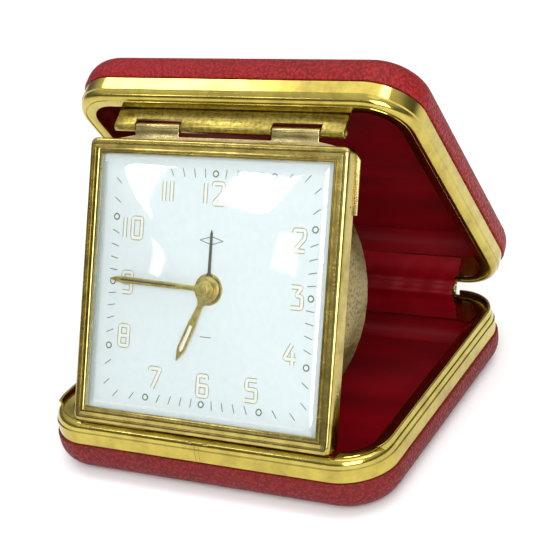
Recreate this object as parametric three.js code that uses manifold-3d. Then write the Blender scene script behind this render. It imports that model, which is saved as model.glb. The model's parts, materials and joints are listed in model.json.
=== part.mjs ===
// Folding travel alarm clock: two leatherette-covered half shells with brass rims, hinged at
// the rear, and a square brass clock that hangs from the lid's front edge and stands on the base.
// Units are millimetres, +Z is up, +Y is to the back, the dial faces -Y. The origin is the
// centre of the base's flat underside.
import * as THREE from "three";
import { mergeVertices } from "three/addons/utils/BufferGeometryUtils.js";
import Module from "manifold-3d";

const wasm = await Module();
wasm.setup();

// ---------- driving dimensions ----------
const CASE_WIDTH = 76;
const CASE_DEPTH = 70;
const CORNER_RADIUS = 10;
const HALF_HEIGHT = 12; // flange plane of a half shell above its outer face
const FLANGE_GAP = 1.4; // between the two flanges when the case is shut
const HINGE_OVERHANG = 0.2; // rear hinge axis behind the rims' outer face
const LID_OPEN = THREE.MathUtils.degToRad(55);
const CORNER_STEPS = 6;

const RIM_FLANGE = 3.9; // width of the flat brass flange and its shoulder
const RIM_BAND_TOP = -1.5;
const RIM_BAND_BOTTOM = -4.45;
const COVER_TOP = -4.7;
const COVER_PROUD = 0.4;

const CLOCK_WIDTH = 57.6;
const CLOCK_HEIGHT = 56.7;
const CLOCK_SIDE = 3.3; // depth of the bezel's side wall
const CLOCK_TILT = THREE.MathUtils.degToRad(26.2);
const CLOCK_FOOT_Y = -34.79; // front bottom edge of the clock
const CLOCK_FOOT_Z = HALF_HEIGHT + 1.05;
const CLOCK_CENTRE = 28.4; // dial centre above the clock's bottom edge
const CLOCK_AXIS_UP = 59.28; // clock hinge axis above the clock's bottom edge
const CLOCK_AXIS_BACK = 4.4; // and behind its front face
const BEZEL_WIDTH = 3.1;
const DIAL_FRONT = 1.6;
const DRUM_RADIUS = 28;
const DRUM_FRONT = 3.6;
const DRUM_BACK = 15;

const KNUCKLE_RADIUS = 0.9;
const KNUCKLE_BORE = 0.5;
const PIN_RADIUS = 0.4;
const FINE_GAP = 0.3;

const PLATE_RADIUS = 22;
const FRONT_PLATE = [4.6, 5.4]; // distances behind the clock's front face
const BACK_PLATE = [12.4, 13.2];
const ARBOR_RADIUS = 0.45;
const ARBOR_HOLE = 0.65;

// ---------- materials ----------
const finish = {
  brass: new THREE.MeshStandardMaterial({ color: 0xc4ae4e, roughness: 0.22, metalness: 1 }),
  steel: new THREE.MeshStandardMaterial({ color: 0x9a9c9e, roughness: 0.35, metalness: 1 }),
  gilt: new THREE.MeshStandardMaterial({ color: 0xbfa75a, roughness: 0.45, metalness: 1 }),
  leatherette: new THREE.MeshStandardMaterial({ color: 0xa82430, roughness: 0.6, metalness: 0 }),
  satin: new THREE.MeshStandardMaterial({ color: 0x6e0612, roughness: 0.5, metalness: 0 }),
  acrylic: new THREE.MeshStandardMaterial({
    color: 0xf2f6f6,
    roughness: 0.05,
    metalness: 0,
    transparent: true,
    opacity: 0.3,
  }),
  dialWhite: new THREE.MeshStandardMaterial({ color: 0xe6edef, roughness: 0.5, metalness: 0 }),
  bluedSteel: new THREE.MeshStandardMaterial({ color: 0x2c2e34, roughness: 0.3, metalness: 1 }),
};

// ---------- solids ----------
function toSolid(geometry) {
  const bare = geometry.index ? geometry.clone() : mergeVertices(geometry.clone());
  bare.deleteAttribute("normal");
  bare.deleteAttribute("uv");
  const merged = mergeVertices(bare, 1e-4);
  return new wasm.Manifold(
    new wasm.Mesh({
      numProp: 3,
      vertProperties: merged.attributes.position.array,
      triVerts: new Uint32Array(merged.index.array),
    }),
  );
}

function toGeometry(solid) {
  const mesh = solid.getMesh();
  const geometry = new THREE.BufferGeometry();
  geometry.setAttribute("position", new THREE.BufferAttribute(mesh.vertProperties, 3));
  geometry.setIndex(new THREE.BufferAttribute(mesh.triVerts, 1));
  return geometry;
}

function join(first, ...others) {
  let solid = toSolid(first);
  for (const other of others) {
    solid = solid.add(toSolid(other));
  }
  return toGeometry(solid);
}

function cut(first, ...tools) {
  let solid = toSolid(first);
  for (const tool of tools) {
    solid = solid.subtract(toSolid(tool));
  }
  return toGeometry(solid);
}

function overlapOf(first, second) {
  return toGeometry(toSolid(first).intersect(toSolid(second)));
}

// ---------- shapes ----------
function block(x, y, z) {
  // x, y and z are [low, high] pairs
  const geometry = new THREE.BoxGeometry(x[1] - x[0], y[1] - y[0], z[1] - z[0]);
  return geometry.translate((x[0] + x[1]) / 2, (y[0] + y[1]) / 2, (z[0] + z[1]) / 2);
}

function rodX(radius, x, y, z, sides = 16) {
  const geometry = new THREE.CylinderGeometry(radius, radius, x[1] - x[0], sides);
  return geometry.rotateZ(Math.PI / 2).translate((x[0] + x[1]) / 2, y, z);
}

function rodZ(radius, x, y, z, sides = 16) {
  const geometry = new THREE.CylinderGeometry(radius, radius, z[1] - z[0], sides);
  return geometry.rotateX(Math.PI / 2).translate(x, y, (z[0] + z[1]) / 2);
}

// Sweeps a closed profile of [inset, height] points round a rounded rectangle. It is a lathe
// whose quarters are moved apart, so the straight sides span between the four corners. Past
// the corner radius the corner stays sharp.
function roundedRing(profile, width, depth, radius, steps = CORNER_STEPS) {
  const segments = 4 * steps;
  const halfStep = Math.PI / segments;
  const grow = 1 / Math.cos(halfStep);
  const sharpest = 0.03;
  const loop = [...profile, profile[0]];
  const points = loop.map(
    ([inset, height]) => new THREE.Vector2(Math.max(radius - inset, sharpest) * grow, height),
  );
  const geometry = new THREE.LatheGeometry(points, segments, halfStep, 2 * Math.PI);
  geometry.rotateX(Math.PI / 2);
  const place = geometry.attributes.position;
  for (let i = 0; i < place.count; i++) {
    const angle = halfStep + Math.floor(i / points.length) * 2 * halfStep;
    const past = Math.max(loop[i % points.length][0] - radius, 0);
    const shiftX = Math.sign(Math.sin(angle)) * (width / 2 - radius - past);
    const shiftY = -Math.sign(Math.cos(angle)) * (depth / 2 - radius - past);
    place.setXY(i, place.getX(i) + shiftX, place.getY(i) + shiftY);
  }
  return geometry;
}

// The same sweep closed across its middle: a pan with a floor between two heights.
function roundedPan(profile, width, depth, radius, floor) {
  const reach = 0.06;
  const middleX = width / 2 - radius + reach;
  const middleY = depth / 2 - radius + reach;
  return join(
    roundedRing(profile, width, depth, radius),
    block([-middleX, middleX], [-middleY, middleY], floor),
  );
}

function drawPath(shape, points) {
  shape.moveTo(...points[0]);
  for (const point of points.slice(1)) {
    shape.lineTo(...point);
  }
  shape.closePath();
  return shape;
}

function circlePoints(x, y, radius, sides) {
  return Array.from({ length: sides }, (_, i) => {
    const angle = (i * 2 * Math.PI) / sides;
    return [x + radius * Math.cos(angle), y + radius * Math.sin(angle)];
  });
}

function circleHole(x, y, radius, sides = 10) {
  return drawPath(new THREE.Path(), circlePoints(x, y, radius, sides).reverse());
}

function slab(shape, z, curveSegments = 6) {
  const options = { depth: z[1] - z[0], bevelEnabled: false, curveSegments };
  return new THREE.ExtrudeGeometry(shape, options).translate(0, 0, z[0]);
}

function disc(radius, z, holes = [], sides = 40) {
  const shape = drawPath(new THREE.Shape(), circlePoints(0, 0, radius, sides));
  shape.holes = holes.map(([x, y, r]) => circleHole(x, y, r));
  return slab(shape, z);
}

// A spur gear with straight-sided teeth and a round bore.
function gear(teeth, module_, z, bore, phase = 0) {
  const pitchAngle = (2 * Math.PI) / teeth;
  const root = module_ * (teeth / 2 - 1.15);
  const tip = module_ * (teeth / 2 + 0.75);
  const corners = [];
  for (let i = 0; i < teeth; i++) {
    const middle = phase + i * pitchAngle;
    const spots = [
      [root, -0.2],
      [tip, -0.07],
      [tip, 0.07],
      [root, 0.2],
    ];
    for (const [radius, share] of spots) {
      const angle = middle + share * pitchAngle;
      corners.push([radius * Math.cos(angle), radius * Math.sin(angle)]);
    }
  }
  const shape = drawPath(new THREE.Shape(), corners);
  if (bore) shape.holes = [circleHole(0, 0, bore)];
  return slab(shape, z);
}

// The phase that puts a gap of gear B round a tooth of gear A, across the line between them.
function meshPhase(phaseA, teethA, teethB, towardsB) {
  return towardsB + Math.PI - (teethA / teethB) * (phaseA - towardsB) + Math.PI / teethB;
}

function part(name, geometry, material) {
  const mesh = new THREE.Mesh(geometry, material);
  mesh.name = name;
  return mesh;
}

// ---------- half shells ----------
// A half is drawn with its flange plane at z = 0, its cavity below and its rear hinge at +Y.
function halfRing(profile) {
  return roundedRing(profile, CASE_WIDTH, CASE_DEPTH, CORNER_RADIUS);
}

function halfPan(profile, floor) {
  return roundedPan(profile, CASE_WIDTH, CASE_DEPTH, CORNER_RADIUS, floor);
}

function rimGeometry() {
  return halfRing([
    [0, RIM_BAND_BOTTOM],
    [0, RIM_BAND_TOP],
    [0.25, -0.75],
    [0.8, -0.2],
    [1.6, 0],
    [RIM_FLANGE, 0],
    [RIM_FLANGE, -5],
    [RIM_FLANGE - 0.6, -5],
    [RIM_FLANGE - 0.6, -1.3],
    [1.6, -1.3],
    [0.8, -2],
    [0.8, RIM_BAND_BOTTOM],
  ]);
}

function coverGeometry() {
  const bottom = -HALF_HEIGHT;
  return halfPan(
    [
      [7, bottom],
      [3.6, bottom + 0.35],
      [1.5, bottom + 1.7],
      [0.1, bottom + 4],
      [-COVER_PROUD, bottom + 6],
      [-COVER_PROUD, COVER_TOP],
      [0.9, COVER_TOP],
      [0.9, bottom + 4.4],
      [2.2, bottom + 2.2],
      [4.2, bottom + 0.95],
      [7, bottom + 0.8],
      [CORNER_RADIUS, bottom + 0.8],
      [CORNER_RADIUS, bottom],
    ],
    [bottom, bottom + 0.8],
  );
}

function shellGeometry() {
  const floor = -HALF_HEIGHT + 1.05;
  const sheet = 0.45;
  return halfPan(
    [
      [4.4, floor],
      [2.6, floor + 1.4],
      [1.7, floor + 3.6],
      [1.7, -2.2],
      [2.3, -2.2],
      [2.3, floor + 3.6],
      [3.2, floor + 1.8],
      [4.7, floor + sheet],
      [CORNER_RADIUS, floor + sheet],
      [CORNER_RADIUS, floor],
    ],
    [floor, floor + sheet],
  );
}

function liningGeometry() {
  const floor = -HALF_HEIGHT + 1.7;
  const cloth = 0.3;
  return halfPan(
    [
      [4.9, floor],
      [3.4, floor + 1.6],
      [2.6, floor + 3],
      [2.6, -5.3],
      [3, -5.3],
      [3, floor + 3.1],
      [3.8, floor + 1.8],
      [5.1, floor + cloth],
      [CORNER_RADIUS, floor + cloth],
      [CORNER_RADIUS, floor],
    ],
    [floor, floor + cloth],
  );
}

// The raised dust lip along a side of the base and round its rear corner.
function lipGeometry(side, margin = 0) {
  const ring = halfRing([
    [0.25 - margin, -1.1 - margin],
    [0.25 - margin, 0.55],
    [0.5, 0.9],
    [0.9, 0.9],
    [1.15 + margin, 0.6],
    [1.15 + margin, -1.1 - margin],
  ]);
  const sideX = side > 0 ? [27.6 - margin, 40] : [-40, -27.6 + margin];
  return overlapOf(ring, block(sideX, [-28.2 - margin, 40], [-3, 3]));
}

// The clock's foot stands in a shallow step along the front flange, and swings past its edge.
function footStep() {
  const reach = CLOCK_WIDTH / 2 + 0.5;
  return [
    block([-reach, reach], [-33.3, -28], [-0.75, 1]),
    block([-reach, reach], [-31.9, -28], [-8, 1]),
  ];
}

function baseHalf() {
  const half = new THREE.Group();
  half.position.z = HALF_HEIGHT;
  const rim = cut(rimGeometry(), ...footStep(), lipGeometry(1, 0.15), lipGeometry(-1, 0.15));
  half.add(
    part("base_cover", coverGeometry(), finish.leatherette),
    part("base_shell", shellGeometry(), finish.steel),
    part("base_rim", rim, finish.brass),
    part("base_lip_right", lipGeometry(1), finish.brass),
    part("base_lip_left", lipGeometry(-1), finish.brass),
    part("base_lining", liningGeometry(), finish.satin),
    part("spine_leaf_base", spineLeaf(BASE_KNUCKLES), finish.brass),
  );
  return half;
}

// ---------- rear hinge ----------
const SPINE_Y = CASE_DEPTH / 2 + HINGE_OVERHANG;
const SPINE_Z = FLANGE_GAP / 2;
const BASE_KNUCKLES = [
  [-26, -16],
  [-5, 5],
  [16, 26],
];
const LID_KNUCKLES = [
  [-15.7, -5.3],
  [5.3, 15.7],
];

function spineLeaf(knuckles) {
  let leaf = block([-26, 26], [CASE_DEPTH / 2 + 0.1, CASE_DEPTH / 2 + 0.5], [-4.1, -0.35]);
  for (const x of knuckles) {
    leaf = join(
      leaf,
      block(x, [CASE_DEPTH / 2 + 0.1, CASE_DEPTH / 2 + 0.5], [-1, SPINE_Z - 0.6]),
      rodX(KNUCKLE_RADIUS, x, SPINE_Y, SPINE_Z),
    );
  }
  return cut(leaf, rodX(KNUCKLE_BORE, [-30, 30], SPINE_Y, SPINE_Z));
}

// The satin gusset that closes the gap inside the rear hinge, drawn at the rest opening.
function gussetGeometry() {
  const bisector = Math.PI - LID_OPEN / 2;
  const baseSide = [
    [30.5, HALF_HEIGHT - 3.4],
    [30.45, HALF_HEIGHT - 0.4],
  ];
  const axis = [SPINE_Y, HALF_HEIGHT + SPINE_Z];
  const mirrored = baseSide.map(([y, z]) => {
    const dy = y - axis[0];
    const dz = z - axis[1];
    const c = Math.cos(2 * bisector);
    const s = Math.sin(2 * bisector);
    return [axis[0] + c * dy + s * dz, axis[1] + s * dy - c * dz];
  });
  const fold = [axis[0] + 5.6 * Math.cos(bisector), axis[1] + 5.6 * Math.sin(bisector)];
  const middle = [...baseSide, fold, ...mirrored.reverse()];
  const shape = drawPath(new THREE.Shape(), [
    ...middle.map(([y, z]) => [y + 0.15, z]),
    ...middle.map(([y, z]) => [y - 0.25, z]).reverse(),
  ]);
  const half = CASE_WIDTH / 2 - CORNER_RADIUS;
  const geometry = slab(shape, [-half, half]);
  // extruded along Z from a drawing of (y, z): turn it to run along X
  return geometry.rotateY(Math.PI / 2).rotateX(Math.PI / 2);
}

// ---------- clock hinge ----------
const PLATE_Y = -CASE_DEPTH / 2 + RIM_FLANGE + FINE_GAP; // front face of the hinge plate
const PLATE_HALF = 25.6;
const CLOCK_KNUCKLES = [
  [-20.5, -10.4],
  [10.4, 20.5],
];
const PLATE_KNUCKLES = [
  [-PLATE_HALF, -20.8],
  [-10.1, 10.1],
  [20.8, PLATE_HALF],
];

// Clock hinge axis seen from the lid's own half frame: [y, outwards from the flange].
function clockAxisInLid() {
  const sin = Math.sin(CLOCK_TILT);
  const cos = Math.cos(CLOCK_TILT);
  const y = CLOCK_FOOT_Y + CLOCK_AXIS_UP * sin + CLOCK_AXIS_BACK * cos - SPINE_Y;
  const z = CLOCK_FOOT_Z + CLOCK_AXIS_UP * cos - CLOCK_AXIS_BACK * sin - (HALF_HEIGHT + SPINE_Z);
  const shutY = y * Math.cos(LID_OPEN) - z * Math.sin(LID_OPEN);
  const shutZ = y * Math.sin(LID_OPEN) + z * Math.cos(LID_OPEN);
  return [shutY + SPINE_Y, SPINE_Z - shutZ];
}

function hingePlate() {
  const [axisY, axisZ] = clockAxisInLid();
  const plateBack = PLATE_Y + 0.6;
  let plate = block([-PLATE_HALF, PLATE_HALF], [PLATE_Y, plateBack], [-3.6, axisZ - 1.4]);
  for (const x of PLATE_KNUCKLES) {
    plate = join(
      plate,
      block(x, [PLATE_Y, plateBack], [axisZ - 1.6, axisZ]),
      rodX(KNUCKLE_RADIUS, x, axisY, axisZ),
    );
  }
  const bore = rodX(KNUCKLE_BORE, [-30, 30], axisY, axisZ);
  return cut(plate, bore);
}

function clockLeaf() {
  const ear = CLOCK_WIDTH / 2 + 0.5;
  const top = CLOCK_HEIGHT - 0.5;
  const outline = drawPath(new THREE.Shape(), [
    [-ear, 44.3],
    [ear, 44.3],
    [ear, top - 1.6],
    [ear - 1.4, top],
    [21, top + 1.3],
    [-21, top + 1.3],
    [-ear + 1.4, top],
    [-ear, top - 1.6],
  ]);
  // drawn in (x, up), thickness along the clock's depth
  let leaf = slab(outline, [0, 0.5]).rotateX(Math.PI / 2).translate(0, 4.1, 0);
  for (const x of CLOCK_KNUCKLES) {
    leaf = join(
      leaf,
      block(x, [3.6, 4.1], [top, CLOCK_AXIS_UP]),
      rodX(KNUCKLE_RADIUS, x, CLOCK_AXIS_BACK, CLOCK_AXIS_UP),
    );
  }
  const drum = new THREE.CylinderGeometry(DRUM_RADIUS + 0.35, DRUM_RADIUS + 0.35, 20, 64);
  drum.translate(0, 4, 0).translate(0, 0, CLOCK_CENTRE);
  const bore = rodX(KNUCKLE_BORE, [-30, 30], CLOCK_AXIS_BACK, CLOCK_AXIS_UP);
  return cut(leaf, drum, bore);
}

function lidHalf() {
  const swing = new THREE.Group();
  swing.position.set(0, SPINE_Y, HALF_HEIGHT + SPINE_Z);
  swing.rotation.x = -LID_OPEN;
  const half = new THREE.Group();
  half.position.set(0, -SPINE_Y, SPINE_Z);
  half.rotation.y = Math.PI;
  swing.add(half);
  const [axisY, axisZ] = clockAxisInLid();
  half.add(
    part("lid_cover", coverGeometry(), finish.leatherette),
    part("lid_shell", shellGeometry(), finish.steel),
    part("lid_rim", rimGeometry(), finish.brass),
    part("lid_lining", liningGeometry(), finish.satin),
    part("spine_leaf_lid", spineLeaf(LID_KNUCKLES), finish.brass),
    part("clock_hinge_plate", hingePlate(), finish.brass),
    part("clock_hinge_pin", rodX(PIN_RADIUS, [-25.4, 25.4], axisY, axisZ, 10), finish.steel),
  );
  return swing;
}

// ---------- clock case ----------
// Clock frame: x across, y back from the front face, z up from the bottom edge.
function bezelGeometry() {
  const ring = roundedRing(
    [
      [0, -CLOCK_SIDE],
      [0, -0.7],
      [0.2, -0.2],
      [0.7, 0],
      [2.5, -0.1],
      [BEZEL_WIDTH, -0.5],
      [BEZEL_WIDTH, -0.8],
      [0.6, -0.8],
      [0.6, -CLOCK_SIDE],
    ],
    CLOCK_WIDTH,
    CLOCK_HEIGHT,
    1.2,
    3,
  );
  return ring.rotateX(Math.PI / 2).translate(0, 0, CLOCK_HEIGHT / 2);
}

// A square lathe of four sides, drawn as [half width, depth] from the front apex round to the axis.
function squareLathe(profile, stretch) {
  const points = profile.map(([half, depth]) => new THREE.Vector2(half * Math.SQRT2, depth));
  const geometry = new THREE.LatheGeometry(points, 4, Math.PI / 4, 2 * Math.PI);
  return geometry.scale(1, 1, stretch).translate(0, 0, CLOCK_HEIGHT / 2);
}

function crystalGeometry() {
  const half = CLOCK_WIDTH / 2 - BEZEL_WIDTH - 0.3;
  return squareLathe(
    [
      [0, -3],
      [half - 0.5, -1.1],
      [half, -0.6],
      [half, 0.95],
      [half + 0.9, 0.95],
      [half + 0.9, 1.35],
      [half - 0.8, 1.35],
      [half - 0.8, -0.2],
      [0, -2.2],
    ],
    (CLOCK_HEIGHT - 2 * BEZEL_WIDTH - 0.6) / (2 * half),
  );
}

function dialGeometry() {
  const halfX = CLOCK_WIDTH / 2 - 1.2;
  const halfZ = CLOCK_HEIGHT / 2 - 1.2;
  const shape = drawPath(new THREE.Shape(), [
    [-halfX, -halfZ],
    [halfX, -halfZ],
    [halfX, halfZ],
    [-halfX, halfZ],
  ]);
  shape.holes = [circleHole(0, 0, 1.85, 14)];
  const dial = slab(shape, [0, 0.35]).rotateX(Math.PI / 2);
  return dial.translate(0, DIAL_FRONT + 0.35, CLOCK_CENTRE);
}

function caseBackGeometry() {
  const plate = block([-27.9, 27.9], [2.6, 3.2], [0.9, CLOCK_HEIGHT - 0.9]);
  const opening = new THREE.CylinderGeometry(19, 19, 4, 40).translate(0, 3, CLOCK_CENTRE);
  return cut(plate, opening);
}

// ---------- movement ----------
// Movement frame: z points to the back of the clock, y points down, the centre arbor is the origin.
const at = (angle, distance) => [
  distance * Math.cos(THREE.MathUtils.degToRad(angle)),
  distance * Math.sin(THREE.MathUtils.degToRad(angle)),
];
const MOTION_MODULE = 0.4;
const TRAIN_MODULE = 0.3;
const CENTRE_MODULE = 0.35;
const MINUTE_WHEEL = { angle: 225, distance: (MOTION_MODULE * (10 + 30)) / 2 };
const ALARM_ARBOR = { angle: 90, distance: (MOTION_MODULE * (36 + 12)) / 2 };
const GOING_BARREL = { angle: 150, distance: (TRAIN_MODULE * (12 + 54)) / 2 };
const THIRD_WHEEL = { angle: 270, distance: (CENTRE_MODULE * (48 + 8)) / 2 };
const ESCAPE_OFFSET = { angle: 330, distance: (TRAIN_MODULE * (45 + 8)) / 2 };
const ALARM_BARREL = at(30, 12.6);
const PALLET_PIVOT = at(314, 17.8);
const BALANCE = at(338, 16.4);
const HAMMER_PIVOT = at(205, 17.5);

const minuteWheelAt = at(MINUTE_WHEEL.angle, MINUTE_WHEEL.distance);
const alarmArborAt = at(ALARM_ARBOR.angle, ALARM_ARBOR.distance);
const goingBarrelAt = at(GOING_BARREL.angle, GOING_BARREL.distance);
const thirdWheelAt = at(THIRD_WHEEL.angle, THIRD_WHEEL.distance);
const escapeOffset = at(ESCAPE_OFFSET.angle, ESCAPE_OFFSET.distance);
const escapeWheelAt = [thirdWheelAt[0] + escapeOffset[0], thirdWheelAt[1] + escapeOffset[1]];
const PILLARS = [60, 165, 250].map((angle) => at(angle, 20));

function moved(geometry, [x, y]) {
  return geometry.translate(x, y, 0);
}

function frontPlate() {
  const pivots = [goingBarrelAt, thirdWheelAt, escapeWheelAt, PALLET_PIVOT, BALANCE, ALARM_BARREL];
  const holes = [...pivots, HAMMER_PIVOT, minuteWheelAt].map(([x, y]) => [x, y, ARBOR_HOLE]);
  return disc(PLATE_RADIUS, FRONT_PLATE, [[0, 0, 0.8], [...alarmArborAt, 0.8], ...holes]);
}

function backPlate() {
  const pivots = [thirdWheelAt, escapeWheelAt, PALLET_PIVOT, BALANCE, HAMMER_PIVOT];
  const holes = pivots.map(([x, y]) => [x, y, ARBOR_HOLE]);
  const stems = [goingBarrelAt, ALARM_BARREL].map(([x, y]) => [x, y, 1.3]);
  return disc(PLATE_RADIUS, BACK_PLATE, [[0, 0, 0.8], [...alarmArborAt, 0.8], ...stems, ...holes]);
}

function arbor(z = [4.9, 12.9]) {
  return rodZ(ARBOR_RADIUS, 0, 0, z, 8);
}

function motionWorks() {
  const toMinute = THREE.MathUtils.degToRad(MINUTE_WHEEL.angle);
  const minutePhase = meshPhase(0, 10, 30, toMinute);
  const hourPhase = meshPhase(0, 8, 32, toMinute + Math.PI);
  const cannon = gear(10, MOTION_MODULE, [3.5, 4.2], 0, 0);
  const centreArbor = join(cannon, rodZ(0.5, 0, 0, [0.1, 15.6], 10));
  const minuteWheel = join(
    gear(30, MOTION_MODULE, [3.5, 4.2], 0, minutePhase),
    gear(8, MOTION_MODULE, [2.7, 3.6], 0, 0),
    rodZ(0.45, 0, 0, [2.5, 5.2], 8),
  );
  const hourWheel = cut(
    join(gear(32, MOTION_MODULE, [2.8, 3.3], 0, hourPhase), rodZ(1.05, 0, 0, [0.95, 3.3], 12)),
    rodZ(0.65, 0, 0, [0, 5], 12),
  );
  const toAlarm = THREE.MathUtils.degToRad(ALARM_ARBOR.angle);
  const alarmWheel = cut(
    join(gear(36, MOTION_MODULE, [2.15, 2.5], 0, 0), rodZ(1.6, 0, 0, [1.35, 2.5], 12)),
    rodZ(1.2, 0, 0, [0, 5], 12),
  );
  const alarmPinion = gear(12, MOTION_MODULE, [2.1, 2.55], 0, meshPhase(0, 36, 12, toAlarm));
  const alarmArbor = join(alarmPinion, rodZ(0.5, 0, 0, [2.1, 15.6], 10));
  return [
    part("centre_arbor", centreArbor, finish.steel),
    part("minute_wheel", moved(minuteWheel, minuteWheelAt), finish.gilt),
    part("hour_wheel", hourWheel, finish.gilt),
    part("alarm_wheel", alarmWheel, finish.gilt),
    part("alarm_set_arbor", moved(alarmArbor, alarmArborAt), finish.steel),
  ];
}

function goingTrain() {
  const toThird = THREE.MathUtils.degToRad(THIRD_WHEEL.angle);
  const toBarrel = THREE.MathUtils.degToRad(GOING_BARREL.angle);
  const toEscape = THREE.MathUtils.degToRad(ESCAPE_OFFSET.angle);
  const centreWheel = cut(
    join(
      gear(48, CENTRE_MODULE, [6, 6.5], 0, 0),
      gear(12, TRAIN_MODULE, [6.4, 11.6], 0, 0),
    ),
    rodZ(0.6, 0, 0, [5, 13], 10),
  );
  const barrelPhase = meshPhase(0, 12, 54, toBarrel);
  const barrel = cut(
    join(
      gear(54, TRAIN_MODULE, [10.6, 11.2], 0, barrelPhase),
      rodZ(7.3, 0, 0, [7, 11.2], 32),
      rodZ(ARBOR_RADIUS, 0, 0, [4.9, 8], 8),
    ),
    rodZ(1.2, 0, 0, [9, 13], 12),
  );
  const third = join(
    gear(8, CENTRE_MODULE, [5.8, 7.2], 0, meshPhase(0, 48, 8, toThird)),
    gear(45, TRAIN_MODULE, [7.6, 8.1], 0, 0),
    arbor(),
  );
  const escapePinion = gear(8, TRAIN_MODULE, [7.3, 8.6], 0, meshPhase(0, 45, 8, toEscape));
  const escape = join(escapePinion, ratchetWheel(15, 4.3, [9.2, 9.6]), arbor());
  return [
    part("centre_wheel", centreWheel, finish.gilt),
    part("going_barrel", moved(barrel, goingBarrelAt), finish.gilt),
    part("third_wheel", moved(third, thirdWheelAt), finish.gilt),
    part("escape_wheel", moved(escape, escapeWheelAt), finish.gilt),
  ];
}

// The escape wheel's pointed teeth all lean the same way.
function ratchetWheel(teeth, radius, z) {
  const corners = [];
  for (let i = 0; i < teeth; i++) {
    const start = (i * 2 * Math.PI) / teeth;
    const tip = start + 0.12;
    corners.push([radius * 0.78 * Math.cos(start), radius * 0.78 * Math.sin(start)]);
    corners.push([radius * Math.cos(tip), radius * Math.sin(tip)]);
  }
  return slab(drawPath(new THREE.Shape(), corners), z);
}

function escapement() {
  const lever = join(
    slab(
      drawPath(new THREE.Shape(), [
        [-1.1, -2.6],
        [1.1, -2.6],
        [0.9, 0],
        [0.5, 3.2],
        [-0.5, 3.2],
        [-0.9, 0],
      ]),
      [9.1, 9.6],
    ),
    arbor(),
  );
  lever.rotateZ(THREE.MathUtils.degToRad(-10));
  const wheel = disc(4.9, [10.6, 11], [], 32);
  const windows = [0, 90, 180, 270].map((angle) => {
    const [x, y] = at(angle + 45, 2.7);
    return rodZ(1.3, x, y, [10, 12], 12);
  });
  const balance = join(cut(wheel, ...windows), arbor());
  return [
    part("pallet_lever", moved(lever, PALLET_PIVOT), finish.steel),
    part("balance_wheel", moved(balance, BALANCE), finish.brass),
    part("hairspring", moved(hairspring(), BALANCE), finish.bluedSteel),
  ];
}

// A flat spiral of thin strip, swept as one outline out along one side and back along the other.
function hairspring() {
  const turns = 3.25;
  const steps = 40;
  const inner = 0.8;
  const pitch = 0.75;
  const thick = 0.12;
  const edge = (offset) =>
    Array.from({ length: steps + 1 }, (_, i) => {
      const angle = (i / steps) * turns * 2 * Math.PI;
      const radius = inner + (pitch * angle) / (2 * Math.PI) + offset;
      return [radius * Math.cos(angle), radius * Math.sin(angle)];
    });
  const outline = [...edge(-thick), ...edge(thick).reverse()];
  return slab(drawPath(new THREE.Shape(), outline), [11.4, 11.7]);
}

function alarmWork() {
  const barrel = cut(
    join(rodZ(7, 0, 0, [7, 11.2], 32), rodZ(ARBOR_RADIUS, 0, 0, [4.9, 8], 8)),
    rodZ(1.2, 0, 0, [9, 13], 12),
  );
  const hammer = join(
    block([-0.5, 0.5], [0, 6.5], [9.1, 9.6]),
    rodZ(1.2, 0, 6.6, [8.6, 10.1], 12),
    arbor(),
  );
  hammer.rotateZ(THREE.MathUtils.degToRad(62));
  return [
    part("alarm_barrel", moved(barrel, ALARM_BARREL), finish.gilt),
    part("alarm_hammer", moved(hammer, HAMMER_PIVOT), finish.steel),
  ];
}

// ---------- back of the clock ----------
const STOP_BUTTON = at(270, 20);
const REGULATOR = at(325, 15.5);
const BACK_SCREWS = [200, 340, 90].map((angle) => at(angle, 24));

function drumGeometry() {
  const profile = [
    [DRUM_RADIUS - 0.6, DRUM_FRONT],
    [DRUM_RADIUS, DRUM_FRONT],
    [DRUM_RADIUS, DRUM_BACK - 1.2],
    [DRUM_RADIUS - 0.4, DRUM_BACK - 0.4],
    [DRUM_RADIUS - 1.3, DRUM_BACK],
    [0, DRUM_BACK],
    [0, DRUM_BACK - 0.6],
    [DRUM_RADIUS - 1.6, DRUM_BACK - 0.6],
    [DRUM_RADIUS - 0.6, DRUM_BACK - 1.6],
    [DRUM_RADIUS - 0.6, DRUM_FRONT],
  ].map(([radius, depth]) => new THREE.Vector2(radius, depth));
  const cup = new THREE.LatheGeometry(profile, 48).rotateX(Math.PI / 2);
  const through = [14, 16];
  const [regulatorX, regulatorY] = REGULATOR;
  return cut(
    cup,
    rodZ(0.9, 0, 0, through, 12),
    rodZ(0.9, ...alarmArborAt, through, 12),
    rodZ(1.5, ...goingBarrelAt, through, 14),
    rodZ(1.5, ...ALARM_BARREL, through, 14),
    rodZ(1.9, ...STOP_BUTTON, through, 14),
    block([regulatorX - 2.6, regulatorX + 2.6], [regulatorY - 0.9, regulatorY + 0.9], through),
    ...BACK_SCREWS.map(([x, y]) => rodZ(0.8, x, y, through, 10)),
  );
}

function windingKey([x, y], angle) {
  const wing = new THREE.Shape();
  wing.absarc(4.2, 0, 2.3, -2.2, 2.2, false);
  wing.absarc(-4.2, 0, 2.3, Math.PI - 2.2, Math.PI + 2.2, false);
  wing.closePath();
  const grip = slab(wing, [16, 17.1], 10);
  const stem = rodZ(1, 0, 0, [9.4, 16.2], 14);
  return join(grip, stem, rodZ(1.9, 0, 0, [15.3, 17.3], 16)).rotateZ(angle).translate(x, y, 0);
}

function setKnob([x, y], radius) {
  const knob = gear(18, (2 * radius) / 19.5, [15.7, 17.2], 0.6);
  return knob.translate(x, y, 0);
}

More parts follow.
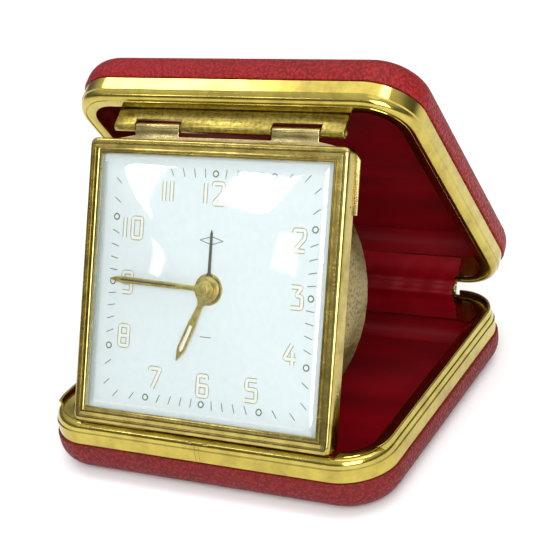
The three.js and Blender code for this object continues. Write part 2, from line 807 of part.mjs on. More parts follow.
function backFittings() {
  const [regulatorX, regulatorY] = REGULATOR;
  const stop = join(rodZ(1.5, 0, 0, [13.8, 16.4], 14), rodZ(2, 0, 0, [16.2, 16.9], 16));
  const regulator = join(
    rodZ(0.9, 0, 3.4, [13.5, 14.2], 12),
    block([-0.4, 0.4], [-0.3, 3.4], [13.5, 13.9]),
    block([-0.4, 0.4], [-0.5, 0.5], [13.5, 15.9]),
  );
  const screws = BACK_SCREWS.map(([x, y], i) => {
    const screw = cut(
      join(rodZ(1.3, 0, 0, [15.1, 15.7], 14), rodZ(0.6, 0, 0, [13.4, 15.3], 10)),
      block([-2, 2], [-0.2, 0.2], [15.4, 16]),
    );
    return part(`back_screw_${i + 1}`, moved(screw, [x, y]), finish.steel);
  });
  return [
    part("going_winding_key", windingKey(goingBarrelAt, 0.5), finish.brass),
    part("alarm_winding_key", windingKey(ALARM_BARREL, 2.2), finish.brass),
    part("time_set_knob", setKnob([0, 0], 2.7), finish.brass),
    part("alarm_set_knob", setKnob(alarmArborAt, 2.4), finish.brass),
    part("alarm_stop_button", moved(stop, STOP_BUTTON), finish.brass),
    part("regulator_lever", moved(regulator, [regulatorX, regulatorY]), finish.steel),
    ...screws,
  ];
}

// ---------- hands ----------
// A hand points up (-y in the movement frame) before it is turned clockwise to its reading.
function hand(length, tail, width, boss, bore, z, degrees) {
  const blade = slab(
    drawPath(new THREE.Shape(), [
      [-0.25, length],
      [-width / 2, length * 0.62],
      [-width / 2, length * 0.25],
      [-0.3, 0],
      [-0.3, -tail],
      [0.3, -tail],
      [0.3, 0],
      [width / 2, length * 0.25],
      [width / 2, length * 0.62],
      [0.25, length],
    ]),
    z,
  ).rotateZ(Math.PI);
  const solid = cut(join(blade, rodZ(boss, 0, 0, z, 16)), rodZ(bore, 0, 0, [-5, 5], 12));
  return solid.rotateZ(THREE.MathUtils.degToRad(degrees));
}

function hands() {
  return [
    part("minute_hand", hand(22, 3.2, 1, 1.3, 0.6, [0.15, 0.4], 271.5), finish.brass),
    part("hour_hand", hand(15.4, 2, 1.3, 1.7, 1.15, [1, 1.25], 202.7), finish.brass),
    part("alarm_hand", hand(11.4, 2, 0.6, 2, 1.7, [1.36, 1.5], 0), finish.bluedSteel),
  ];
}

function clock() {
  const group = new THREE.Group();
  group.position.set(0, CLOCK_FOOT_Y, CLOCK_FOOT_Z);
  group.rotation.x = -CLOCK_TILT;
  group.add(
    part("bezel", bezelGeometry(), finish.brass),
    part("crystal", crystalGeometry(), finish.acrylic),
    part("dial", dialGeometry(), finish.dialWhite),
    part("case_back", caseBackGeometry(), finish.gilt),
    part("clock_hinge_leaf", clockLeaf(), finish.brass),
  );
  const movement = new THREE.Group();
  movement.position.z = CLOCK_CENTRE;
  movement.rotation.x = -Math.PI / 2;
  const pillars = PILLARS.map(([x, y], i) =>
    part(`pillar_${i + 1}`, rodZ(1.3, x, y, [5.5, 12.3], 12), finish.gilt),
  );
  movement.add(
    part("movement_front_plate", frontPlate(), finish.gilt),
    part("movement_back_plate", backPlate(), finish.gilt),
    ...pillars,
    ...motionWorks(),
    ...goingTrain(),
    ...escapement(),
    ...alarmWork(),
    part("back_drum", drumGeometry(), finish.gilt),
    ...backFittings(),
    ...hands(),
  );
  group.add(movement);
  return group;
}

// ---------- whole object ----------
const travelClock = new THREE.Group();
travelClock.add(
  baseHalf(),
  lidHalf(),
  clock(),
  part("spine_pin", rodX(PIN_RADIUS, [-25.8, 25.8], SPINE_Y, HALF_HEIGHT + SPINE_Z, 10), finish.steel),
  part("hinge_gusset", gussetGeometry(), finish.satin),
);

export default travelClock;
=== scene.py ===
# Folding travel alarm clock: leather-covered clamshell, gilt rims, square wind-up clock.
import json
import math
import random
import bpy
from mathutils import Matrix, Vector

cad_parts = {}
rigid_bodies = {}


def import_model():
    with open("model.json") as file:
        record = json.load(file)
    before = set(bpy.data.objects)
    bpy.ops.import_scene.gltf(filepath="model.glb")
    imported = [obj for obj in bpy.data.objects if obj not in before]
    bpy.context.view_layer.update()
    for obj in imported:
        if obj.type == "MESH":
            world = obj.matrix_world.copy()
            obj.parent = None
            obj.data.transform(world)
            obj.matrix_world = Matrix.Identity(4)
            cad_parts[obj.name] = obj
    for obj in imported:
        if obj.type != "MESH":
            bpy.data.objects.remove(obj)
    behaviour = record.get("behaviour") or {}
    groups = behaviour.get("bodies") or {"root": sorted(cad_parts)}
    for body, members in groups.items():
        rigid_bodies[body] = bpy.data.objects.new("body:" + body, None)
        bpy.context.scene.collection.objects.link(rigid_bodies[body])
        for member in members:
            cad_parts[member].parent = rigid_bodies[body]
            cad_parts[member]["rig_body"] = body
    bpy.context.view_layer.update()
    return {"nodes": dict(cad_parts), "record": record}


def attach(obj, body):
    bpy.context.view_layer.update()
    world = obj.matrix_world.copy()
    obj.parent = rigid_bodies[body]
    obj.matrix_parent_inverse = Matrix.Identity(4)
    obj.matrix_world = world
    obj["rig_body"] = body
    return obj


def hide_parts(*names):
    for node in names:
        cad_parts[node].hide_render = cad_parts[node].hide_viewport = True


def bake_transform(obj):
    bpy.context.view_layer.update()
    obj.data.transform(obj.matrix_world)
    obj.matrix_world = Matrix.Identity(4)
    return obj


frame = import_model()
nodes = frame["nodes"]
random.seed(7)
print("frame loaded:", len(nodes), "nodes")

# where things are: pieces are drawn in mm in their own half or clock, then put in place
case = {
    "width": 76.0, "depth": 70.0, "corner": 10.0, "height": 12.0,
    "hingeBack": 0.2, "halfGap": 0.7, "open": 55.0,
}
clock = {
    "width": 57.6, "height": 56.7, "side": 3.3, "tilt": 26.2,
    "footY": -34.79, "footZ": 13.05, "centre": 28.4, "dialFront": 1.6,
}

toMetres = Matrix.Scale(0.001, 4)
hingeAt = Vector((0, case["depth"] / 2 + case["hingeBack"], case["height"] + case["halfGap"]))
inBase = toMetres @ Matrix.Translation((0, 0, case["height"]))
inLid = (
    toMetres
    @ Matrix.Translation(hingeAt)
    @ Matrix.Rotation(math.radians(-case["open"]), 4, "X")
    @ Matrix.Translation((0, -hingeAt.y, case["halfGap"]))
    @ Matrix.Rotation(math.pi, 4, "Y")
)
# clock: x across, y back from the front face, z up from its foot
clockFoot = Matrix.Translation((0, clock["footY"], clock["footZ"]))
inClock = toMetres @ clockFoot @ Matrix.Rotation(math.radians(-clock["tilt"]), 4, "X")
standUp = Matrix.Rotation(math.radians(90), 4, "X")
# dial: x right, y up, z towards the reader, from the dial's face
onDial = inClock @ Matrix.Translation((0, clock["dialFront"], clock["centre"])) @ standUp
# bezel and crystal: the same way up, from the middle of the clock's front face
onFront = inClock @ Matrix.Translation((0, 0, clock["height"] / 2)) @ standUp


# colours and nodes
def toLinear(hexColour, alpha=1.0):
    parts = [int(hexColour[i:i + 2], 16) / 255 for i in (1, 3, 5)]
    return [p / 12.92 if p <= 0.04045 else ((p + 0.055) / 1.055) ** 2.4 for p in parts] + [alpha]


def addNode(tree, kind, inputs=None, **settings):
    made = tree.nodes.new(kind)
    for key, value in settings.items():
        setattr(made, key, value)
    for key, value in (inputs or {}).items():
        if isinstance(value, bpy.types.NodeSocket):
            tree.links.new(value, made.inputs[key])
        else:
            made.inputs[key].default_value = value
    return made


def ramp(tree, factor, stops):
    made = addNode(tree, "ShaderNodeValToRGB", {"Fac": factor})
    bar = made.color_ramp
    bar.elements[0].position, bar.elements[0].color = stops[0]
    bar.elements[1].position, bar.elements[1].color = stops[-1]
    for position, colour in stops[1:-1]:
        bar.elements.new(position).color = colour
    return made.outputs["Color"]


def grey(value):
    return [value, value, value, 1]


def addRelief(tree, shader, height, strength, depth):
    made = addNode(tree, "ShaderNodeBump", {"Height": height, "Strength": strength, "Distance": depth})
    tree.links.new(made.outputs[0], shader.inputs["Normal"])
    return made.outputs[0]


def newMaterial(name):
    material = bpy.data.materials.new(name)
    material.use_nodes = True
    tree = material.node_tree
    tree.nodes.clear()
    out = addNode(tree, "ShaderNodeOutputMaterial")
    shader = addNode(tree, "ShaderNodeBsdfPrincipled")
    tree.links.new(shader.outputs[0], out.inputs["Surface"])
    place = addNode(tree, "ShaderNodeTexCoord").outputs["Object"]
    return material, tree, shader, place


# PVC leathercloth, embossed from a roller: rounded pebbles about 0.7 mm apart, half matt; the crowns are
# painted paler as highlight and the valleys darker as shade
def leathercloth(name, crownHighlight, body, valleyShade, rough):
    material, tree, shader, place = newMaterial(name)
    warp = addNode(tree, "ShaderNodeTexNoise", {"Vector": place, "Scale": 900.0, "Detail": 2.0})
    middle = (0.5, 0.5, 0.5)
    bent = addNode(tree, "ShaderNodeVectorMath", {0: warp.outputs["Color"], 1: middle}, operation="SUBTRACT")
    small = addNode(tree, "ShaderNodeVectorMath", {0: bent.outputs[0], "Scale": 0.0006}, operation="SCALE")
    moved = addNode(tree, "ShaderNodeVectorMath", {0: place, 1: small.outputs[0]}, operation="ADD")
    grain = {"Vector": moved.outputs[0], "Scale": 1500.0, "Smoothness": 0.35}
    pebble = addNode(tree, "ShaderNodeTexVoronoi", grain, feature="SMOOTH_F1")
    fine = {"Vector": place, "Scale": 1100.0, "Detail": 4.0, "Roughness": 0.6}
    crease = addNode(tree, "ShaderNodeTexNoise", fine)
    softened = {0: crease.outputs["Fac"], 1: 0.35, 2: 0.42}
    soft = addNode(tree, "ShaderNodeMath", softened, operation="MULTIPLY_ADD")
    both = {0: soft.outputs[0], 1: pebble.outputs["Distance"]}
    height = addNode(tree, "ShaderNodeMath", both, operation="SUBTRACT")
    patch = addNode(tree, "ShaderNodeTexNoise", {"Vector": place, "Scale": 60.0, "Detail": 3.0})
    # painted highlight on the pebbles' crowns, painted shade in the valleys between them
    stops = [(0.0, toLinear(valleyShade)), (0.2, toLinear(body)), (0.48, toLinear(crownHighlight))]
    tone = ramp(tree, height.outputs[0], stops)
    # the painted highlight and shade show in patches, fading to the plain body colour
    mixed = {"Factor": patch.outputs["Fac"], "A": tone, "B": toLinear(body)}
    patchyLightAndShade = addNode(tree, "ShaderNodeMix", mixed, data_type="RGBA")
    tree.links.new(patchyLightAndShade.outputs["Result"], shader.inputs["Base Color"])
    gloss = ramp(tree, height.outputs[0], [(0.0, grey(rough + 0.2)), (0.45, grey(rough))])
    tree.links.new(gloss, shader.inputs["Roughness"])
    addRelief(tree, shader, height.outputs[0], 0.9, 0.0003)
    shader.inputs["Specular IOR Level"].default_value = 0.26
    return material


# gilt brass, pressed and polished: mirror bright with hairline wear, olive where the gilding has thinned
def giltBrass(name, bright, thin, rough, scratch=0.12, mottling=90.0, contrast=(0.42, 0.68)):
    material, tree, shader, place = newMaterial(name)
    slant = {"Vector": place, "Scale": (1.0, 9.0, 6.0), "Rotation": (0.2, 0.1, 0.5)}
    stretched = addNode(tree, "ShaderNodeMapping", slant)
    wear = {"Vector": stretched.outputs[0], "Scale": 380.0, "Detail": 5.0, "Roughness": 0.7}
    hairline = addNode(tree, "ShaderNodeTexNoise", wear)
    thinning = {"Vector": place, "Scale": mottling, "Detail": 6.0, "Roughness": 0.62}
    patch = addNode(tree, "ShaderNodeTexNoise", thinning)
    stops = [(contrast[0], toLinear(bright)), (contrast[1], toLinear(thin))]
    colour = ramp(tree, patch.outputs["Fac"], stops)
    tree.links.new(colour, shader.inputs["Base Color"])
    dulling = [(0.35, grey(rough)), (0.62, grey(rough * 1.6)), (0.72, grey(rough * 2.6))]
    gloss = ramp(tree, hairline.outputs["Fac"], dulling)
    tree.links.new(gloss, shader.inputs["Roughness"])
    addRelief(tree, shader, hairline.outputs["Fac"], scratch, 0.00006)
    shader.inputs["Metallic"].default_value = 1.0
    return material


# gilt zinc, sand-cast texture pressed in: fine pits about 0.7 mm apart, darkened in the pits as painted
# shade, soft gleam
def stippledGilt(name):
    material, tree, shader, place = newMaterial(name)
    pits = addNode(tree, "ShaderNodeTexVoronoi", {"Vector": place, "Scale": 1500.0, "Randomness": 1.0})
    cluster = addNode(tree, "ShaderNodeTexNoise", {"Vector": place, "Scale": 260.0, "Detail": 3.0})
    clustered = {0: pits.outputs["Distance"], 1: cluster.outputs["Fac"]}
    depth = addNode(tree, "ShaderNodeMath", clustered, operation="MULTIPLY")
    # painted shade: the deeper a pit, the darker its colour
    stops = [(0.045, toLinear("#3c2f14")), (0.1, toLinear("#75663a")), (0.3, toLinear("#9a8a5a"))]
    colour = ramp(tree, depth.outputs[0], stops)
    tree.links.new(colour, shader.inputs["Base Color"])
    addRelief(tree, shader, depth.outputs[0], 0.5, 0.0002)
    gloss = ramp(tree, cluster.outputs["Fac"], [(0.3, grey(0.34)), (0.7, grey(0.52))])
    tree.links.new(gloss, shader.inputs["Roughness"])
    shader.inputs["Metallic"].default_value = 0.85
    return material


# rayon satin, woven: threads near 0.15 mm drawn at 0.3 mm so they show, long soft gleam across the warp
# painted as lighter and darker streaks
def rayonSatin(name, light, deep):
    material, tree, shader, place = newMaterial(name)
    along = addNode(tree, "ShaderNodeMapping", {"Vector": place, "Scale": (0.25, 1.0, 1.0)})
    thread = addNode(tree, "ShaderNodeTexNoise", {"Vector": along.outputs[0], "Scale": 3200.0, "Detail": 2.0})
    pullAndSheen = addNode(tree, "ShaderNodeTexNoise", {"Vector": along.outputs[0], "Scale": 120.0, "Detail": 3.0})
    # painted sheen: long streaks coloured lighter and darker across the warp
    colour = ramp(tree, pullAndSheen.outputs["Fac"], [(0.3, toLinear(deep)), (0.7, toLinear(light))])
    tree.links.new(colour, shader.inputs["Base Color"])
    weave = {0: thread.outputs["Fac"], 1: pullAndSheen.outputs["Fac"]}
    height = addNode(tree, "ShaderNodeMath", weave, operation="ADD")
    addRelief(tree, shader, height.outputs[0], 0.35, 0.0001)
    shader.inputs["Roughness"].default_value = 0.5
    shader.inputs["Specular IOR Level"].default_value = 0.2
    shader.inputs["Anisotropic"].default_value = 0.5
    shader.inputs["Sheen Weight"].default_value = 0.12
    shader.inputs["Sheen Roughness"].default_value = 0.4
    shader.inputs["Sheen Tint"].default_value = toLinear("#e0404e")
    return material


# clear acrylic, moulded: nearly invisible face on, bright where it mirrors a lamp, lets light onto the dial
def clearAcrylic(name):
    material, tree, shader, place = newMaterial(name)
    out = next(n for n in tree.nodes if n.type == "OUTPUT_MATERIAL")
    swirl = addNode(tree, "ShaderNodeTexNoise", {"Vector": place, "Scale": 45.0, "Detail": 2.0})
    waves = addRelief(tree, shader, swirl.outputs["Fac"], 0.2, 0.0004)
    shader.inputs["Base Color"].default_value = toLinear("#f4f8f8")
    shader.inputs["Roughness"].default_value = 0.03
    shader.inputs["Metallic"].default_value = 1.0
    edge = addNode(tree, "ShaderNodeFresnel", {"IOR": 1.49, "Normal": waves})
    # the face a ray leaves by mirrors far too much when nothing refracts, so it is turned down
    leaving = addNode(tree, "ShaderNodeNewGeometry").outputs["Backfacing"]
    entering = addNode(tree, "ShaderNodeMath", {0: leaving, 1: -0.84, 2: 1.0}, operation="MULTIPLY_ADD")
    raised = {0: edge.outputs[0], 1: 1.7}
    stronger = addNode(tree, "ShaderNodeMath", raised, operation="MULTIPLY", use_clamp=True)
    kept = {0: stronger.outputs[0], 1: entering.outputs[0]}
    strength = addNode(tree, "ShaderNodeMath", kept, operation="MULTIPLY")
    clear = addNode(tree, "ShaderNodeBsdfTransparent", {"Color": toLinear("#fbfdfd")})
    layers = {0: strength.outputs[0], 1: clear.outputs[0], 2: shader.outputs[0]}
    surface = addNode(tree, "ShaderNodeMixShader", layers)
    tree.links.new(surface.outputs[0], out.inputs["Surface"])
    return material


# stove enamel or printing ink: flat pigment with a faint grain
def enamel(name, colour, shade, rough, grain=800.0, strength=0.08):
    material, tree, shader, place = newMaterial(name)
    dust = {"Vector": place, "Scale": grain, "Detail": 4.0, "Roughness": 0.6}
    speck = addNode(tree, "ShaderNodeTexNoise", dust)
    tone = ramp(tree, speck.outputs["Fac"], [(0.3, toLinear(colour)), (0.75, toLinear(shade))])
    tree.links.new(tone, shader.inputs["Base Color"])
    addRelief(tree, shader, speck.outputs["Fac"], strength, 0.00005)
    gloss = ramp(tree, speck.outputs["Fac"], [(0.2, grey(rough)), (0.8, grey(min(1.0, rough * 1.3)))])
    tree.links.new(gloss, shader.inputs["Roughness"])
    return material


# drawn or turned steel: grey, fine lines round or along the piece
def steel(name, colour, shade, rough):
    material, tree, shader, place = newMaterial(name)
    lines = addNode(tree, "ShaderNodeMapping", {"Vector": place, "Scale": (0.2, 1.0, 1.0)})
    turned = addNode(tree, "ShaderNodeTexNoise", {"Vector": lines.outputs[0], "Scale": 2500.0, "Detail": 3.0})
    tone = ramp(tree, turned.outputs["Fac"], [(0.3, toLinear(colour)), (0.7, toLinear(shade))])
    tree.links.new(tone, shader.inputs["Base Color"])
    addRelief(tree, shader, turned.outputs["Fac"], 0.15, 0.00004)
    gloss = ramp(tree, turned.outputs["Fac"], [(0.3, grey(rough)), (0.7, grey(rough * 1.4))])
    tree.links.new(gloss, shader.inputs["Roughness"])
    shader.inputs["Metallic"].default_value = 1.0
    return material


lidCloth = leathercloth("leathercloth red embossed", "#a01418", "#8e1014", "#560609", 0.38)
# the base's copy has darker colours and a rougher finish than the lid's
baseCloth = leathercloth("leathercloth worn embossed", "#861818", "#761214", "#4a090b", 0.44)
rimGilt = giltBrass("gilt brass polished", "#c2b056", "#978440", 0.11, 0.05, 220.0, (0.42, 0.8))
bezelGilt = giltBrass("gilt brass turned edge", "#bcab62", "#8f7d40", 0.14, 0.05, 300.0, (0.4, 0.75))
hingeGilt = giltBrass("gilt brass dull pressed", "#c0ae5a", "#85743a", 0.24, 0.1, 1300.0, (0.38, 0.68))
knuckleGilt = giltBrass("gilt brass rolled knuckle", "#d6c58a", "#bba86c", 0.2, 0.02, 300.0)
handGilt = giltBrass("gilt brass stamped", "#dcc878", "#b19d54", 0.3, 0.06, 700.0)
drumGilt = stippledGilt("gilt zinc stippled")
trainBrass = giltBrass("brass brushed plate", "#c9a955", "#a98a40", 0.3, 0.3, 200.0)
satin = rayonSatin("rayon satin woven", "#86020f", "#5c0109")
acrylic = clearAcrylic("acrylic clear moulded")
dialWhite = enamel("enamel dial white", "#dde1e2", "#d6dbdc", 0.5)
greyInk = enamel("ink grey green printed", "#66706c", "#58625e", 0.6, 2500.0)
ringInk = enamel("ink green ring", "#5d7a70", "#4c665e", 0.55, 2500.0)
paleFill = enamel("lume pale filling", "#e9e8dd", "#dfdccd", 0.7, 3000.0, 0.2)
tanOutline = enamel("tan outline rib", "#aaa28e", "#948a74", 0.5, 2500.0)
darkLacquer = enamel("lacquer dark", "#5c5246", "#3c352d", 0.35, 1200.0)
shellSteel = steel("steel rolled sheet", "#9a9a98", "#838381", 0.35)
turnedSteel = steel("steel turned", "#b0b2b4", "#8e9092", 0.25)
bluedSteel = steel("steel heat blued", "#27345f", "#1b2547", 0.25)
print("materials ready")


# modelling helpers
def deselectAll():
    if bpy.context.object and bpy.context.object.mode != "OBJECT":
        bpy.ops.object.mode_set(mode="OBJECT")
    bpy.ops.object.select_all(action="DESELECT")


def makeActive(piece):
    deselectAll()
    bpy.context.view_layer.objects.active = piece
    piece.select_set(True)


def applyPlace():
    bpy.ops.object.transform_apply(location=True, rotation=True, scale=True)


def startEdit(piece):
    makeActive(piece)
    bpy.ops.object.mode_set(mode="EDIT")


def endEdit():
    bpy.ops.object.mode_set(mode="OBJECT")


def applyModifier(piece, kind, **settings):
    makeActive(piece)
    made = piece.modifiers.new(kind.title(), kind)
    for key, value in settings.items():
        setattr(made, key, value)
    bpy.ops.object.modifier_apply(modifier=made.name)


def settle(piece, place, material, body, stands=(), smoothAngle=32):
    # put the piece where it belongs, with its place in its mesh
    makeActive(piece)
    piece.matrix_world = place @ piece.matrix_world
    applyPlace()
    bpy.ops.object.mode_set(mode="EDIT")
    bpy.ops.mesh.select_all(action="SELECT")
    bpy.ops.mesh.normals_make_consistent(inside=False)
    bpy.ops.object.mode_set(mode="OBJECT")
    bpy.ops.object.shade_smooth_by_angle(angle=math.radians(smoothAngle))
    piece.data.materials.clear()
    piece.data.materials.append(material)
    if body:
        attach(piece, body)
    if stands:
        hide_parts(*stands)
    return piece


def roundedPlate(name, width, depth, corner, z, steps):
    # one face with round corners, left in edit mode with that face selected
    deselectAll()
    bpy.ops.mesh.primitive_plane_add(size=1, location=(0, 0, z))
    piece = bpy.context.object
    piece.name = name
    piece.scale = (width, depth, 1)
    applyPlace()
    bpy.ops.object.mode_set(mode="EDIT")
    bpy.ops.mesh.select_all(action="SELECT")
    bpy.ops.mesh.bevel(offset=corner, segments=steps, affect="VERTICES", profile=0.5)
    bpy.ops.mesh.select_all(action="SELECT")
    return piece


def followProfile(profile):
    # profile is (inset, height) from the starting edge; the selected face is stepped along it
    for (inset, height), (nextInset, nextHeight) in zip(profile, profile[1:]):
        bpy.ops.mesh.inset(thickness=nextInset - inset, depth=nextHeight - height, use_even_offset=True)


def startPan(name, profile, steps=18):
    # the case's outline stepped along a profile, left in edit mode with the last face selected
    start, height = profile[0]
    width, depth, corner = case["width"] - 2 * start, case["depth"] - 2 * start, case["corner"] - start
    piece = roundedPlate(name, width, depth, corner, height, steps)
    followProfile(profile)
    return piece


def ringFrom(name, profile, thickness=None, shape=None):
    # a rim without its middle face; its wall is thickened inwards, or the profile's two ends are joined
    piece = startPan(name, profile)
    bpy.ops.mesh.delete(type="FACE")
    if shape:
        shape()
    if thickness is None:
        bpy.ops.mesh.select_all(action="DESELECT")
        bpy.ops.mesh.select_non_manifold()
        bpy.ops.mesh.bridge_edge_loops()
    endEdit()
    if thickness is not None:
        applyModifier(piece, "SOLIDIFY", thickness=thickness, offset=-1, use_even_offset=True)
    return piece


def trim(piece, at, normal):
    # keeps what lies behind the plane, and closes the cut
    startEdit(piece)
    bpy.ops.mesh.select_all(action="SELECT")
    bpy.ops.mesh.bisect(plane_co=at, plane_no=normal, use_fill=True, clear_outer=True)
    endEdit()


def joinAll(pieces, name):
    deselectAll()
    for piece in pieces:
        piece.select_set(True)
    bpy.context.view_layer.objects.active = pieces[0]
    if len(pieces) > 1:
        bpy.ops.object.join()
    pieces[0].name = name
    return pieces[0]


def finerCopy(nodeName, material, bevel, angle=35, segments=2):
    # the CAD solid again, with its edges broken and its round faces smooth
    source = nodes[nodeName]
    piece = bpy.data.objects.new(nodeName + "_finished", source.data.copy())
    bpy.context.scene.collection.objects.link(piece)
    startEdit(piece)
    bpy.ops.mesh.select_all(action="SELECT")
    bpy.ops.mesh.remove_doubles(threshold=1e-6)
    bpy.ops.mesh.dissolve_limited(angle_limit=math.radians(1.5))
    endEdit()
    if bevel:
        applyModifier(
            piece, "BEVEL", width=bevel * 0.001, segments=segments,
            limit_method="ANGLE", angle_limit=math.radians(angle), use_clamp_overlap=True,
        )
    makeActive(piece)
    bpy.ops.object.shade_smooth_by_angle(angle=math.radians(angle))
    piece.data.materials.clear()
    piece.data.materials.append(material)
    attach(piece, source["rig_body"])
    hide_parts(nodeName)
    return piece


# leather covers
cover = {
    "top": -4.7, "proud": 0.4, "straight": -6.0, "roll": 7.0,
    "sheet": 0.8, "edge": 0.3, "steps": 12, "squareness": 2.35,
}


def coverProfile():
    profile = [(-cover["proud"], cover["top"] + 0.05), (-cover["proud"], cover["straight"])]
    reach = cover["roll"] + cover["proud"]
    drop = case["height"] + cover["straight"]
    power = 2 / cover["squareness"]
    for i in range(1, cover["steps"] + 1):
        turn = i / cover["steps"] * math.pi / 2
        inset = -cover["proud"] + reach * (1 - math.cos(turn) ** power)
        profile.append((inset, cover["straight"] - drop * math.sin(turn) ** power))
    return profile


def buildCover(name, place, material, body, node):
    piece = startPan(name, coverProfile())
    endEdit()
    startEdit(piece)
    bpy.ops.mesh.select_all(action="SELECT")
    bpy.ops.mesh.flip_normals()
    endEdit()
    applyModifier(piece, "SOLIDIFY", thickness=cover["sheet"], offset=-1, use_even_offset=True)
    applyModifier(
        piece, "BEVEL", width=cover["edge"], segments=3,
        limit_method="ANGLE", angle_limit=math.radians(60),
    )
    return settle(piece, place, material, body, [node], 50)


buildCover("base_leather", inBase, baseCloth, "base", "base_cover")
buildCover("lid_leather", inLid, lidCloth, "lid", "lid_cover")
print("covers done")

# gilt rims
rim = {
    "bandBottom": -4.45, "bandTop": -1.5, "shoulder": 1.6, "flange": 3.9,
    "inner": -5.0, "sheet": 0.55, "groove": 0.16, "step": 0.24,
}


def rimProfile():
    low = rim["bandTop"] - 0.15
    step, shoulder, groove, flange = (rim[key] for key in ("step", "shoulder", "groove", "flange"))
    profile = [(0.0, rim["bandBottom"]), (0.0, low - step), (step, low - 0.02), (step + 0.02, low + 0.16)]
    for i in range(1, 9):
        turn = i / 8 * math.pi / 2
        reach = shoulder - step - 0.02
        profile.append((shoulder - reach * math.cos(turn), (low + 0.16) * (1 - math.sin(turn))))
    profile += [(shoulder + 0.1, -groove), (shoulder + 0.24, -groove), (shoulder + 0.32, -0.01)]
    profile += [(flange - 0.35, 0.0), (flange - 0.1, -0.09), (flange, -0.35), (flange, rim["inner"])]
    return profile


def selectWhere(test):
    # selects the vertices that pass the test, in edit mode
    piece = bpy.context.object
    bpy.ops.mesh.select_mode(type="VERT")
    bpy.ops.mesh.select_all(action="DESELECT")
    bpy.ops.object.mode_set(mode="OBJECT")
    for v in piece.data.vertices:
        v.select = test(v.co)
    bpy.ops.object.mode_set(mode="EDIT")
    bpy.ops.mesh.select_mode(type="VERT")


# the clock's foot stands in a shallow step of the front flange, and two hairline seams mark the strip's ends
foot = {
    "spare": 0.5, "ramp": 0.1, "front": -33.3, "back": -31.9, "drop": 0.75,
    "stepEnd": -31.0, "wallEnd": -25.0, "flangeLow": -0.5,
}
seam = {"places": (-0.56, 0.36), "half": 0.06, "press": 0.12, "front": -34.5, "bottom": -4.3, "top": -1.0}
near = 0.001  # slack when a test picks what lies on a cut


def cutAll(at, normal):
    bpy.ops.mesh.select_all(action="SELECT")
    bpy.ops.mesh.bisect(plane_co=at, plane_no=normal)


def footStep():
    reach = clock["width"] / 2 + foot["spare"]
    for x in (-reach, reach, -reach + foot["ramp"], reach - foot["ramp"]):
        cutAll((x, 0, 0), (1, 0, 0))
    for y in (foot["front"], foot["front"] + foot["ramp"], foot["back"]):
        cutAll((0, y, 0), (0, 1, 0))
    # the wall behind the step is cut back
    selectWhere(lambda co: abs(co.x) <= reach + near and foot["back"] - near <= co.y < foot["wallEnd"])
    bpy.ops.mesh.select_mode(type="FACE")
    bpy.ops.mesh.delete(type="FACE")

    def onStep(co):
        halfRamp = foot["ramp"] / 2
        within = abs(co.x) < reach - halfRamp and foot["front"] + halfRamp <= co.y < foot["stepEnd"]
        return within and co.z > foot["flangeLow"]

    selectWhere(onStep)
    bpy.ops.transform.translate(value=(0, 0, -foot["drop"]))
    for x in seam["places"]:
        for side in (-seam["half"], 0, seam["half"]):
            cutAll((x + side, 0, 0), (1, 0, 0))

    def onSeam(co):
        atPlace = any(abs(co.x - x) < seam["half"] / 6 for x in seam["places"])
        return atPlace and co.y < seam["front"] and seam["bottom"] < co.z < seam["top"]

    selectWhere(onSeam)
    bpy.ops.transform.translate(value=(0, seam["press"], 0))
    bpy.ops.mesh.select_all(action="SELECT")


baseRim = ringFrom("base_rim_gilt", rimProfile(), rim["sheet"], footStep)
settle(baseRim, inBase, rimGilt, "base", ["base_rim"], 40)
lidRim = ringFrom("lid_rim_gilt", rimProfile(), rim["sheet"])
settle(lidRim, inLid, rimGilt, "lid", ["lid_rim"], 40)

# the dust lips that stand at the sides of the base and go round its rear corners
lip = {"out": 0.62, "in": 1.5, "top": 0.9, "foot": -1.1, "front": -28.2, "rear": 27.6}
for side, name in ((1, "base_lip_right"), (-1, "base_lip_left")):
    outside = [(lip["out"], lip["foot"]), (lip["out"], 0.55), (0.7, 0.78), (0.87, lip["top"])]
    inside = [(1.25, lip["top"]), (1.42, 0.8), (lip["in"], 0.6), (lip["in"], lip["foot"])]
    ring = ringFrom(name + "_gilt", outside + inside)
    trim(ring, (0, lip["front"], 0), (0, -1, -0.75))
    trim(ring, (side * lip["rear"], 0, 0), (-side, 0, 0))
    settle(ring, inBase, rimGilt, "base", [name], 40)

# two small raised burrs by the seam, on the shoulder: each one's place across and its stretch
burr = {"radius": 0.32, "y": -34.45, "z": -0.55, "squash": (0.8, 0.55), "both": ((-1.6, 1.3), (1.9, 2.2))}
burrs = []
for x, stretch in burr["both"]:
    deselectAll()
    bpy.ops.mesh.primitive_uv_sphere_add(
        segments=16, ring_count=10, radius=burr["radius"], location=(x, burr["y"], burr["z"])
    )
    bead = bpy.context.object
    bead.scale = (stretch, *burr["squash"])
    applyPlace()
    burrs.append(bead)
settle(joinAll(burrs, "rim_burrs"), inBase, rimGilt, "base")
print("rims done")

# satin linings
lining = {"wall": 3.0, "floor": -10.0, "cloth": 0.12, "steps": 14}


def buildLining(name, place, body, node):
    wall, floor = lining["wall"], lining["floor"]
    profile = [(wall, -4.6), (wall, -6.0), (wall + 0.05, -7.6), (wall + 0.35, -8.6), (wall + 1.1, -9.5)]
    # a tucked crease, then the floor's soft rise
    profile += [(wall + 2.2, floor - 0.02), (wall + 2.35, floor - 0.12), (wall + 2.5, floor - 0.02)]
    profile += [(wall + 3.4, floor + 0.1), (wall + 6.5, floor + 0.16)]
    piece = startPan(name, profile, lining["steps"])
    endEdit()
    applyModifier(piece, "SOLIDIFY", thickness=lining["cloth"], offset=-1, use_even_offset=True)
    settle(piece, place, satin, body, [node], 40)


buildLining("base_satin", inBase, "base", "base_lining")
buildLining("lid_satin", inLid, "lid", "lid_lining")
print("linings done")

